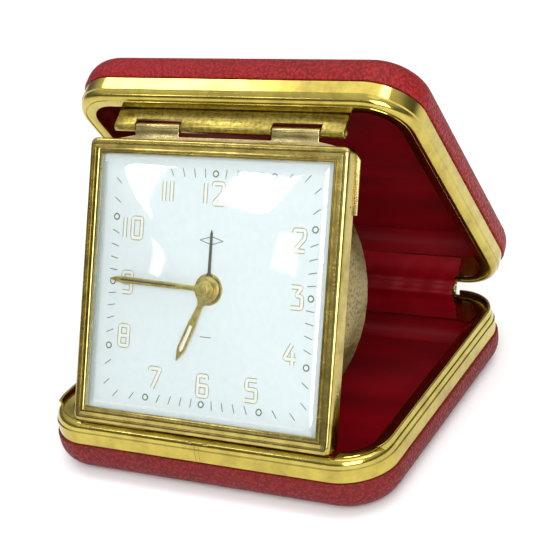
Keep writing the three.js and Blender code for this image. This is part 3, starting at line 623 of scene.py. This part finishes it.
# satin gusset over the rear hinge
# the direction half way between the halves, seen from the hinge
bisector = math.pi - math.radians(case["open"] / 2)
gusset = {
    "foldReach": 4.7, "bend": 2.0, "half": 27.6, "across": 72, "along": 22, "cloth": 0.1,
    "fray": 1.12, "ripples": ((0.16, 0.55, 2.2), (0.1, 1.3, -5.0)), "sag": 0.24,
}


def gussetPath():
    # the fold's line from the base, round the hinge, to the lid: (y, z) in the case's own frame
    axis = (hingeAt.y, hingeAt.z)
    baseSide = [(30.7, 7.6), (30.7, 10.2), (30.65, 11.7), (30.3, 12.9), (30.05, 13.9)]
    reach = gusset["foldReach"]
    fold = (axis[0] + reach * math.cos(bisector), axis[1] + reach * math.sin(bisector))
    mirrored = []
    for y, z in baseSide:
        dy, dz = y - axis[0], z - axis[1]
        c, s = math.cos(2 * bisector), math.sin(2 * bisector)
        mirrored.append((axis[0] + c * dy + s * dz, axis[1] + s * dy - c * dz))
    return baseSide + [fold] + mirrored[::-1]


def alongPath(path, share):
    lengths = [math.dist(a, b) for a, b in zip(path, path[1:])]
    left = share * sum(lengths)
    for (a, b), length in zip(zip(path, path[1:]), lengths):
        if left <= length:
            return tuple(p + (q - p) * left / length for p, q in zip(a, b))
        left -= length
    return path[-1]


def buildGusset():
    deselectAll()
    bpy.ops.mesh.primitive_grid_add(x_subdivisions=gusset["across"], y_subdivisions=gusset["along"], size=2)
    piece = bpy.context.object
    piece.name = "hinge_gusset_satin"
    path = gussetPath()
    for v in piece.data.vertices:
        share = (v.co.y + 1) / 2
        y, z = alongPath(path, share)
        x = v.co.x * gusset["half"]
        slack = math.sin(share * math.pi)
        wave = -gusset["sag"]
        for tall, acrossTurn, alongTurn in gusset["ripples"]:
            wave += tall * math.sin(x * acrossTurn + share * alongTurn)
        if v.co.x > 0.99:
            # the right edge is frayed a little, mostly inwards
            x += gusset["fray"] * (random.random() - 0.6) * slack
        v.co = (x, y - wave * slack, z + 0.5 * wave * slack)
    applyModifier(piece, "SOLIDIFY", thickness=gusset["cloth"], offset=0)
    makeActive(piece)
    piece.matrix_world = toMetres @ piece.matrix_world
    applyPlace()
    startEdit(piece)
    bpy.ops.mesh.select_all(action="SELECT")
    bpy.ops.mesh.normals_make_consistent(inside=False)
    endEdit()
    bpy.ops.object.shade_smooth_by_angle(angle=math.radians(60))
    piece.data.materials.append(satin)
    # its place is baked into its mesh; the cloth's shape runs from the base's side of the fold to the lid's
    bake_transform(piece)
    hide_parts("hinge_gusset")


buildGusset()
print("gusset done")

# bezel
bezel = {
    "width": 3.1, "corner": 1.2, "sheet": 0.35, "roundTo": 0.62, "edgeLimit": 8.0,
    "punch": 0.45, "punchAt": (0.2, 0.81), "punchOut": 0.22, "punchDown": -2.1,
}


def buildBezel():
    # the side wall and its rounded edge, the groove, the flat band, then the inner bead
    profile = [(0.0, -clock["side"]), (0.0, -0.95), (0.04, -0.62), (0.14, -0.36)]
    profile += [(0.32, -0.16), (0.58, -0.04), (0.85, 0.0), (1.0, -0.02)]
    profile += [(1.08, -0.2), (1.3, -0.26), (1.42, -0.22), (2.2, -0.16), (2.32, -0.24), (2.44, -0.2)]
    profile += [(2.56, 0.0), (2.76, 0.05), (2.94, -0.02), (3.06, -0.2)]
    profile += [(bezel["width"], -0.45), (bezel["width"], -0.8)]
    deselectAll()
    bpy.ops.mesh.primitive_plane_add(size=1, location=(0, 0, profile[0][1]))
    piece = bpy.context.object
    piece.name = "bezel_gilt"
    piece.scale = (clock["width"], clock["height"], 1)
    applyPlace()
    startEdit(piece)
    bpy.ops.mesh.select_all(action="SELECT")
    followProfile(profile)
    bpy.ops.mesh.delete(type="FACE")
    # soften the four mitred corners of the wall and its rounded edge
    bpy.ops.mesh.select_mode(type="EDGE")
    bpy.ops.mesh.select_all(action="DESELECT")
    bpy.ops.object.mode_set(mode="OBJECT")

    def byCorner(co):
        fromSide = abs(abs(co.x) - clock["width"] / 2)
        fromTop = abs(abs(co.y) - clock["height"] / 2)
        return max(fromSide, fromTop) < bezel["roundTo"]

    for edge in piece.data.edges:
        ends = [piece.data.vertices[i].co for i in edge.vertices]
        short = (ends[0] - ends[1]).length < bezel["edgeLimit"]
        edge.select = short and all(byCorner(co) for co in ends)
    bpy.ops.object.mode_set(mode="EDIT")
    bpy.ops.mesh.bevel(offset=bezel["corner"], segments=5, affect="EDGES", clamp_overlap=True)
    endEdit()
    applyModifier(piece, "SOLIDIFY", thickness=bezel["sheet"], offset=-1, use_even_offset=True)
    for share in bezel["punchAt"]:
        # punched dimple in the right wall
        across = clock["width"] / 2 + bezel["punchOut"]
        spot = (across, clock["height"] * share - clock["height"] / 2, bezel["punchDown"])
        deselectAll()
        bpy.ops.mesh.primitive_uv_sphere_add(
            segments=16, ring_count=8, radius=bezel["punch"], location=spot
        )
        punch = bpy.context.object
        applyModifier(piece, "BOOLEAN", object=punch, operation="DIFFERENCE", solver="EXACT")
        bpy.data.objects.remove(punch)
    settle(piece, onFront, bezelGilt, "clock", ["bezel"], 35)


buildBezel()

# crystal: a shallow square dome whose faces meet in soft ridges
crystal = {
    "gap": 0.3, "apex": 3.0, "shoulder": 1.1, "skirt": 1.55, "wall": 0.8,
    "squareness": 14, "swell": 0.25, "roll": 0.35, "rollFrom": 0.965,
}


def buildCrystal():
    half = clock["width"] / 2 - bezel["width"] - crystal["gap"]
    tall = clock["height"] / 2 - bezel["width"] - crystal["gap"]
    dome = crystal["apex"] - crystal["shoulder"]
    rollFrom = crystal["rollFrom"]
    squareness = crystal["squareness"]
    deselectAll()
    bpy.ops.mesh.primitive_grid_add(x_subdivisions=64, y_subdivisions=64, size=2)
    piece = bpy.context.object
    piece.name = "crystal_clear"
    for v in piece.data.vertices:
        x, y = v.co.x, v.co.y
        reach = max(abs(x), abs(y))
        # softened square distance from the middle
        ridge = (abs(x) ** squareness + abs(y) ** squareness) ** (1 / squareness)
        rise = crystal["shoulder"] + dome * (1 - min(ridge, 1.06)) * (1 + crystal["swell"] * min(ridge, 1))
        # the edge rolls over
        rise -= crystal["roll"] * max(0.0, reach - rollFrom) / (1 - rollFrom)
        v.co = (x * half, y * tall, rise)
    # skirt: the rim of the sheet goes down into the bezel
    startEdit(piece)
    bpy.ops.mesh.select_all(action="DESELECT")
    bpy.ops.mesh.select_non_manifold()
    bpy.ops.mesh.extrude_region_move(TRANSFORM_OT_translate={"value": (0, 0, -crystal["skirt"])})
    endEdit()
    applyModifier(piece, "SOLIDIFY", thickness=crystal["wall"], offset=-1, use_even_offset=True)
    settle(piece, onFront, acrylic, "clock", ["crystal"], 25)


buildCrystal()
print("bezel and crystal done")


# dial print
def strokeMesh(name, paths, width, height, lift):
    # raised strokes: round-backed ribs along each path
    made = []
    for points in paths:
        data = bpy.data.curves.new(name, "CURVE")
        data.dimensions = "3D"
        data.bevel_depth = width / 2
        data.bevel_resolution = 2
        data.use_fill_caps = True
        spline = data.splines.new("POLY")
        softened = softenCorners(points, width * 0.45)
        spline.points.add(len(softened) - 1)
        for spot, (x, y) in zip(spline.points, softened):
            spot.co = (x, y, 0, 1)
        obj = bpy.data.objects.new(name, data)
        bpy.context.scene.collection.objects.link(obj)
        makeActive(obj)
        bpy.ops.object.convert(target="MESH")
        made.append(bpy.context.object)
    piece = joinAll(made, name)
    piece.scale = (1, 1, height / width)
    piece.location = (0, 0, lift)
    applyPlace()
    return piece


def softenCorners(points, radius):
    out = [points[0]]
    for before, corner, after in zip(points, points[1:], points[2:]):
        a, b, c = Vector(before), Vector(corner), Vector(after)
        u, w = (a - b), (c - b)
        cut = min(radius, u.length * 0.4, w.length * 0.4)
        first, last = b + u.normalized() * cut, b + w.normalized() * cut
        out += [tuple(first), tuple((first + last) / 4 + b / 2), tuple(last)]
    return out + [points[-1]]


dial = {
    "track": 22.2, "tick": 1.75, "tickWidth": 0.17, "dot": 0.56, "ring": 0.13,
    "figureTall": 4.9, "figureWide": 3.5, "oneWide": 1.15, "digitGap": 0.55,
    "rib": 1.0, "ribTall": 0.12, "fill": 0.7, "fillTall": 0.16, "line": 0.16, "lineTall": 0.05, "lift": 0.02,
}
figures = {
    "0": [[(0.08, 0.5), (0.08, 1), (0.92, 1), (0.92, 0), (0.08, 0), (0.08, 0.55)]],
    "1": [[(0.5, 0), (0.5, 1)]],
    "2": [[(0.05, 0.86), (0.05, 1), (0.92, 1), (0.95, 0.62), (0.08, 0.0), (1.0, 0.0)]],
    "3": [[(0.05, 1), (0.9, 1), (0.42, 0.6), (0.95, 0.55), (0.95, 0), (0.05, 0)]],
    "4": [[(0.62, 1), (0.02, 0.28), (1.0, 0.28)], [(0.72, 0.6), (0.72, 0)]],
    "5": [[(0.95, 1), (0.1, 1), (0.1, 0.55), (0.95, 0.55), (0.95, 0), (0.02, 0)]],
    "6": [[(0.88, 0.84), (0.88, 1), (0.1, 1), (0.1, 0), (0.95, 0), (0.95, 0.52), (0.14, 0.52)]],
    "7": [[(0.02, 0.88), (0.02, 1), (0.98, 1), (0.3, 0)]],
    "8": [[(0.1, 0.5), (0.1, 1), (0.9, 1), (0.9, 0), (0.1, 0), (0.1, 0.55)], [(0.14, 0.5), (0.86, 0.5)]],
    "9": [[(0.9, 0.5), (0.1, 0.5), (0.1, 1), (0.9, 1), (0.9, 0), (0.1, 0)]],
}
# where each hour's figure stands on the dial
figureAt = {
    12: (0.0, 18.4), 1: (10.6, 18.4), 2: (19.0, 10.6), 3: (19.2, 0.0),
    4: (18.6, -10.7), 5: (10.8, -18.3), 6: (0.0, -18.6), 7: (-10.9, -18.3),
    8: (-18.8, -10.6), 9: (-18.8, 0.0), 10: (-18.1, 10.8), 11: (-10.6, 18.4),
}


def figurePaths(hour):
    x, y = figureAt[hour]
    digits = str(hour)
    widths = [dial["oneWide"] if d == "1" else dial["figureWide"] for d in digits]
    gap, rib = dial["digitGap"], dial["rib"]
    left = x - (sum(widths) + gap * (len(digits) - 1)) / 2
    paths = []
    for digit, width in zip(digits, widths):
        tall = dial["figureTall"] - rib
        inner = width - rib
        for stroke in figures[digit]:
            paths.append([(left + rib / 2 + px * inner, y - tall / 2 + py * tall) for px, py in stroke])
        left += width + gap
    return paths


def onTrack(minute, half):
    turn = math.radians(6 * minute)
    x, y = math.sin(turn), math.cos(turn)
    share = half / max(abs(x), abs(y))
    return x * share, y * share


def printOn(piece, ink):
    settle(piece, onDial, ink, "clock", (), 60)


def buildPrint():
    strokes = []
    for hour in range(1, 13):
        strokes += figurePaths(hour)
    # a wider tan rib under each figure's pale filling shows round it as an outline
    printOn(strokeMesh("figures_outline", strokes, dial["rib"], dial["ribTall"], 0.0), tanOutline)
    printOn(strokeMesh("figures_fill", strokes, dial["fill"], dial["fillTall"], dial["lift"]), paleFill)
    ticks, rings, seeds = [], [], []
    for minute in range(60):
        x, y = onTrack(minute, dial["track"])
        deselectAll()
        if minute % 5:
            bpy.ops.mesh.primitive_cube_add(size=1, location=(x, y, dial["lift"]))
            tick = bpy.context.object
            tick.scale = (dial["tickWidth"], dial["tick"], dial["lineTall"])
            tick.rotation_euler = (0, 0, -math.radians(6 * minute))
            applyPlace()
            startEdit(tick)
            bpy.ops.mesh.select_all(action="SELECT")
            bpy.ops.mesh.bevel(offset=0.02, segments=1)
            endEdit()
            ticks.append(tick)
        else:
            bpy.ops.mesh.primitive_torus_add(
                location=(x, y, dial["lift"]), major_radius=dial["dot"], minor_radius=dial["ring"],
                major_segments=28, minor_segments=8,
            )
            rings.append(bpy.context.object)
            bpy.ops.mesh.primitive_uv_sphere_add(
                segments=18, ring_count=8, radius=dial["dot"] - 0.04, location=(0, 0, 0)
            )
            seed = bpy.context.object
            seed.scale = (1, 1, 0.16)
            seed.location = (x, y, dial["lift"] / 2)
            applyPlace()
            seeds.append(seed)
    settle(joinAll(ticks, "minute_ticks"), onDial, greyInk, "clock")
    printOn(joinAll(rings, "hour_rings"), ringInk)
    printOn(joinAll(seeds, "hour_seeds"), paleFill)
    # a small plain lozenge above the hub and a short bar below it
    lozenge = [(-2.6, 9.4), (0, 10.2), (2.6, 9.4), (0, 8.6), (-2.6, 9.4)]
    bar = [(-1.2, -9.2), (1.2, -9.2)]
    lines = [lozenge, bar]
    ornament = strokeMesh("dial_ornament", lines, dial["line"], dial["lineTall"], dial["lift"] / 2)
    settle(ornament, onDial, greyInk, "clock")


buildPrint()
print("dial print done")


# hands
def flatShape(name, outline, holes, thickness, edge, lift):
    data = bpy.data.curves.new(name, "CURVE")
    data.dimensions = "2D"
    data.fill_mode = "BOTH"
    data.extrude = thickness / 2
    data.bevel_depth = edge
    data.bevel_resolution = 1
    for points in [outline, *holes]:
        spline = data.splines.new("POLY")
        spline.use_cyclic_u = True
        spline.points.add(len(points) - 1)
        for spot, (x, y) in zip(spline.points, points):
            spot.co = (x, y, 0, 1)
    obj = bpy.data.objects.new(name, data)
    bpy.context.scene.collection.objects.link(obj)
    makeActive(obj)
    bpy.ops.object.convert(target="MESH")
    piece = bpy.context.object
    piece.location = (0, 0, lift)
    applyPlace()
    startEdit(piece)
    bpy.ops.mesh.select_all(action="SELECT")
    bpy.ops.mesh.remove_doubles(threshold=1e-4)
    endEdit()
    return piece


def circle(radius, count):
    turns = [2 * math.pi * i / count for i in range(count)]
    return [(radius * math.cos(turn), radius * math.sin(turn)) for turn in turns]


def turnTo(piece, degrees):
    # clockwise from twelve, as the reader sees it
    piece.rotation_euler = (0, 0, -math.radians(degrees))
    makeActive(piece)
    applyPlace()


# each hand: its length, its hub's radius, where it points in degrees, its bevel and its height
hands = {
    "minute": {"long": 22.0, "hub": 1.7, "reads": 271.5, "edge": 0.05, "lift": 1.32, "fillLift": 1.28},
    "hour": {"long": 15.4, "hub": 2.5, "reads": 202.7, "edge": 0.06, "lift": 0.48, "fillLift": 0.46},
    "alarm": {"long": 11.4, "hub": 2.3, "reads": 0.0, "edge": 0.03, "lift": 0.17},
    "sheet": 0.12, "fill": 0.06, "alarmSheet": 0.08,
}
boss = {"radius": 0.95, "tall": 0.5, "lift": 1.62, "edge": 0.2}
washer = {"outer": 3.1, "inner": 2.45, "sheet": 0.03, "edge": 0.01, "lift": 0.03}


def withHub(blade, radius):
    # a hand's left edge, a round hub, and the same edge back up on the right
    turns = [math.radians(degrees) for degrees in range(-60, 241, 15)]
    hub = [(-radius * math.cos(turn), -radius * math.sin(turn)) for turn in turns]
    return blade + hub + [(-x, y) for x, y in blade[:0:-1]]


def slottedHand(body, blade, slot, strip, filling):
    # a gilt hand with a long slot, and the filling that shows through it
    hand = hands[body]
    outline = withHub(blade, hand["hub"])
    piece = flatShape(body + "_hand_gilt", outline, [slot], hands["sheet"], hand["edge"], hand["lift"])
    turnTo(piece, hand["reads"])
    settle(piece, onDial, handGilt, body, [body + "_hand"], 40)
    fill = flatShape(body + "_hand_fill", strip, [], hands["fill"], 0.0, hand["fillLift"])
    turnTo(fill, hand["reads"])
    settle(fill, onDial, filling, body, (), 40)


def buildHands():
    long = hands["minute"]["long"]
    blade = [(0, long), (-0.5, long - 1.6), (-0.62, long - 3.0), (-0.5, 6.0), (-0.42, 5.2), (-0.45, 2.6)]
    slot = [(-0.16, 6.6), (0.16, 6.6), (0.24, long - 3.0), (0.12, long - 2.2)]
    slot += [(-0.12, long - 2.2), (-0.24, long - 3.0)]
    strip = [(-0.22, 6.4), (0.22, 6.4), (0.28, long - 3.0), (0, long - 2.0), (-0.28, long - 3.0)]
    slottedHand("minute", blade, slot, strip, darkLacquer)
    long = hands["hour"]["long"]
    blade = [(0, long), (-0.55, long - 1.5), (-0.85, long - 2.4), (-0.8, 7.2), (-0.62, 6.4), (-0.5, 3.6)]
    slot = [(-0.4, 7.8), (0.4, 7.8), (0.45, long - 2.6), (0.22, long - 1.9)]
    slot += [(-0.22, long - 1.9), (-0.45, long - 2.6)]
    strip = [(-0.46, 7.6), (0.46, 7.6), (0.5, long - 2.6), (0, long - 1.7), (-0.5, long - 2.6)]
    slottedHand("hour", blade, slot, strip, paleFill)
    hand = hands["alarm"]
    outline = withHub([(0, hand["long"]), (-0.22, hand["long"] - 0.6), (-0.3, 3.2)], hand["hub"])
    piece = flatShape("alarm_hand_dark", outline, [], hands["alarmSheet"], hand["edge"], hand["lift"])
    turnTo(piece, hand["reads"])
    settle(piece, onDial, darkLacquer, "alarm", ["alarm_hand"], 40)
    # the boss that caps the centre arbor
    deselectAll()
    bpy.ops.mesh.primitive_cylinder_add(
        vertices=32, radius=boss["radius"], depth=boss["tall"], location=(0, 0, boss["lift"])
    )
    piece = bpy.context.object
    piece.name = "hand_boss"
    applyModifier(piece, "BEVEL", width=boss["edge"], segments=3, limit_method="ANGLE")
    settle(piece, onDial, handGilt, "minute", (), 40)
    # a gilt washer lies round the arbor on the dial
    outside, hole = circle(washer["outer"], 48), circle(washer["inner"], 40)
    piece = flatShape("dial_washer", outside, [hole], washer["sheet"], washer["edge"], washer["lift"])
    settle(piece, onDial, handGilt, "clock", (), 40)


buildHands()
print("hands done")

# hinges, drum and back fittings: the solids again with broken edges
finerCopy("clock_hinge_plate", hingeGilt, 0.12)
finerCopy("clock_hinge_leaf", knuckleGilt, 0.1)
finerCopy("spine_leaf_base", hingeGilt, 0.08)
finerCopy("spine_leaf_lid", hingeGilt, 0.08)
finerCopy("back_drum", drumGilt, 0.12)
finerCopy("going_winding_key", trainBrass, 0.15)
finerCopy("alarm_winding_key", trainBrass, 0.15)
finerCopy("time_set_knob", trainBrass, 0.06, 30, 1)
finerCopy("alarm_set_knob", trainBrass, 0.06, 30, 1)
finerCopy("alarm_stop_button", trainBrass, 0.12)
finerCopy("regulator_lever", bluedSteel, 0.05)
for number in (1, 2, 3):
    finerCopy("back_screw_%d" % number, turnedSteel, 0.06)
print("hinges and back done")

# every other CAD node gets its own finish
looks = {
    "inner_shell_steel": shellSteel, "hinge_pin_steel": turnedSteel, "movement_steel": turnedSteel,
    "movement_brass": trainBrass, "knob_brass": trainBrass, "blued_steel": bluedSteel,
    "rim_gilt": rimGilt, "bezel_gilt": bezelGilt, "drum_gilt": drumGilt, "hinge_brass": hingeGilt,
    "hand_gilt": handGilt, "alarm_hand_dark": darkLacquer, "dial_paint": dialWhite,
    "crystal_acrylic": acrylic, "cover_leatherette": baseCloth, "lining_satin": satin,
}
for row in frame["record"]["subparts"]:
    mesh = nodes[row["node"]].data
    mesh.materials.clear()
    mesh.materials.append(looks[row["material_slot"]])
print("finishes given to all nodes")

# floor, light and camera
stageSet = {"floor": "#ffffff", "fibre": "#fbfbfb", "floorSize": 6.0, "sky": 0.85}


def softLamp(name, towards, distance, size, power, tint="#ffffff", aim=(0, -0.005, 0.035)):
    middle = Vector(aim)
    way = Vector(towards).normalized()
    data = bpy.data.lights.new(name, "AREA")
    data.shape = "RECTANGLE"
    data.size, data.size_y = size
    data.energy = power
    data.color = toLinear(tint)[:3]
    lamp = bpy.data.objects.new(name, data)
    lamp.location = middle + way * distance
    lamp.rotation_euler = (-way).to_track_quat("-Z", "Y").to_euler()
    bpy.context.scene.collection.objects.link(lamp)


deselectAll()
bpy.ops.mesh.primitive_plane_add(size=stageSet["floorSize"], location=(0, 0, 0))
floor = bpy.context.object
floor.name = "floor"
paper, paperTree, paperShader, paperPlace = newMaterial("paper floor")
fibre = addNode(paperTree, "ShaderNodeTexNoise", {"Vector": paperPlace, "Scale": 40.0})
shades = [(0.2, toLinear(stageSet["fibre"])), (0.8, toLinear(stageSet["floor"]))]
paperTone = ramp(paperTree, fibre.outputs["Fac"], shades)
paperTree.links.new(paperTone, paperShader.inputs["Base Color"])
paperShader.inputs["Roughness"].default_value = 0.9
paperShader.inputs["Specular IOR Level"].default_value = 0.1
floor.data.materials.append(paper)

world = bpy.data.worlds.new("studio")
bpy.context.scene.world = world
world.use_nodes = True
sky = world.node_tree
sky.nodes.clear()
skyOut = addNode(sky, "ShaderNodeOutputWorld")
where = addNode(sky, "ShaderNodeTexCoord").outputs["Generated"]
axes = addNode(sky, "ShaderNodeSeparateXYZ", {"Vector": where})
heights = ((0.0, 0.5), (0.12, 0.16), (0.38, 0.3), (0.62, 0.85), (1.0, 1.0))
wall = ramp(sky, axes.outputs["Z"], [(share, grey(tone)) for share, tone in heights])
backdrop = addNode(sky, "ShaderNodeBackground", {"Color": wall, "Strength": stageSet["sky"]})
sky.links.new(backdrop.outputs[0], skyOut.inputs["Surface"])

softLamp("overhead", (0.1, 0.2, 1.0), 1.2, (1.2, 1.2), 4.5)
softLamp("key", (0.5, -0.8, 0.55), 0.8, (0.5, 0.5), 5.6)
# small strips that the lid's front band and the crystal's facets mirror
strips = (
    ("band strip", (-0.300, -0.008, 0.487), (-0.02, -0.0035, 0.073), (0.07, 0.14), 7.0),
    ("corner strip", (0.254, -0.002, 0.52), (0.035, -0.003, 0.072), (0.05, 0.14), 8.0),
    ("top facet right", (-0.273, -0.431, 0.371), (0.016, -0.015, 0.056), (0.056, 0.036), 8.0),
    ("top facet left", (-0.358, -0.411, 0.362), (-0.019, -0.015, 0.06), (0.026, 0.08), 9.0),
    ("right facet", (-0.174, -0.532, 0.287), (0.019, -0.019, 0.046), (0.024, 0.026), 2.4),
    ("left facet", (-0.399, -0.432, 0.235), (-0.012, -0.019, 0.045), (0.012, 0.034), 4.0),
)
for name, spot, aim, size, radiance in strips:
    away = Vector(spot) - Vector(aim)
    softLamp(name, away, away.length, size, radiance * math.pi * size[0] * size[1], "#ffffff", aim)

view = {"at": (0.15005, -0.23828, 0.15924), "yaw": 31.6, "down": 24.8, "roll": -9.5, "lens": 97.32}
yaw, down, roll = (math.radians(view[key]) for key in ("yaw", "down", "roll"))
forward = Vector((-math.sin(yaw) * math.cos(down), math.cos(yaw) * math.cos(down), -math.sin(down)))
right = forward.cross(Vector((0, 0, 1))).normalized()
up = right.cross(forward)
rolledRight = right * math.cos(roll) + up * math.sin(roll)
rolledUp = up * math.cos(roll) - right * math.sin(roll)
camData = bpy.data.cameras.new("camera")
camData.sensor_width = 36
camData.lens = view["lens"]
camData.clip_start, camData.clip_end = 0.01, 20
camera = bpy.data.objects.new("camera", camData)
turn = Matrix((rolledRight, rolledUp, -forward)).transposed().to_4x4()
camera.matrix_world = Matrix.Translation(view["at"]) @ turn
bpy.context.scene.collection.objects.link(camera)
bpy.context.scene.camera = camera
bpy.context.scene.view_settings.view_transform = "Standard"

bpy.context.view_layer.update()
print("stage set")
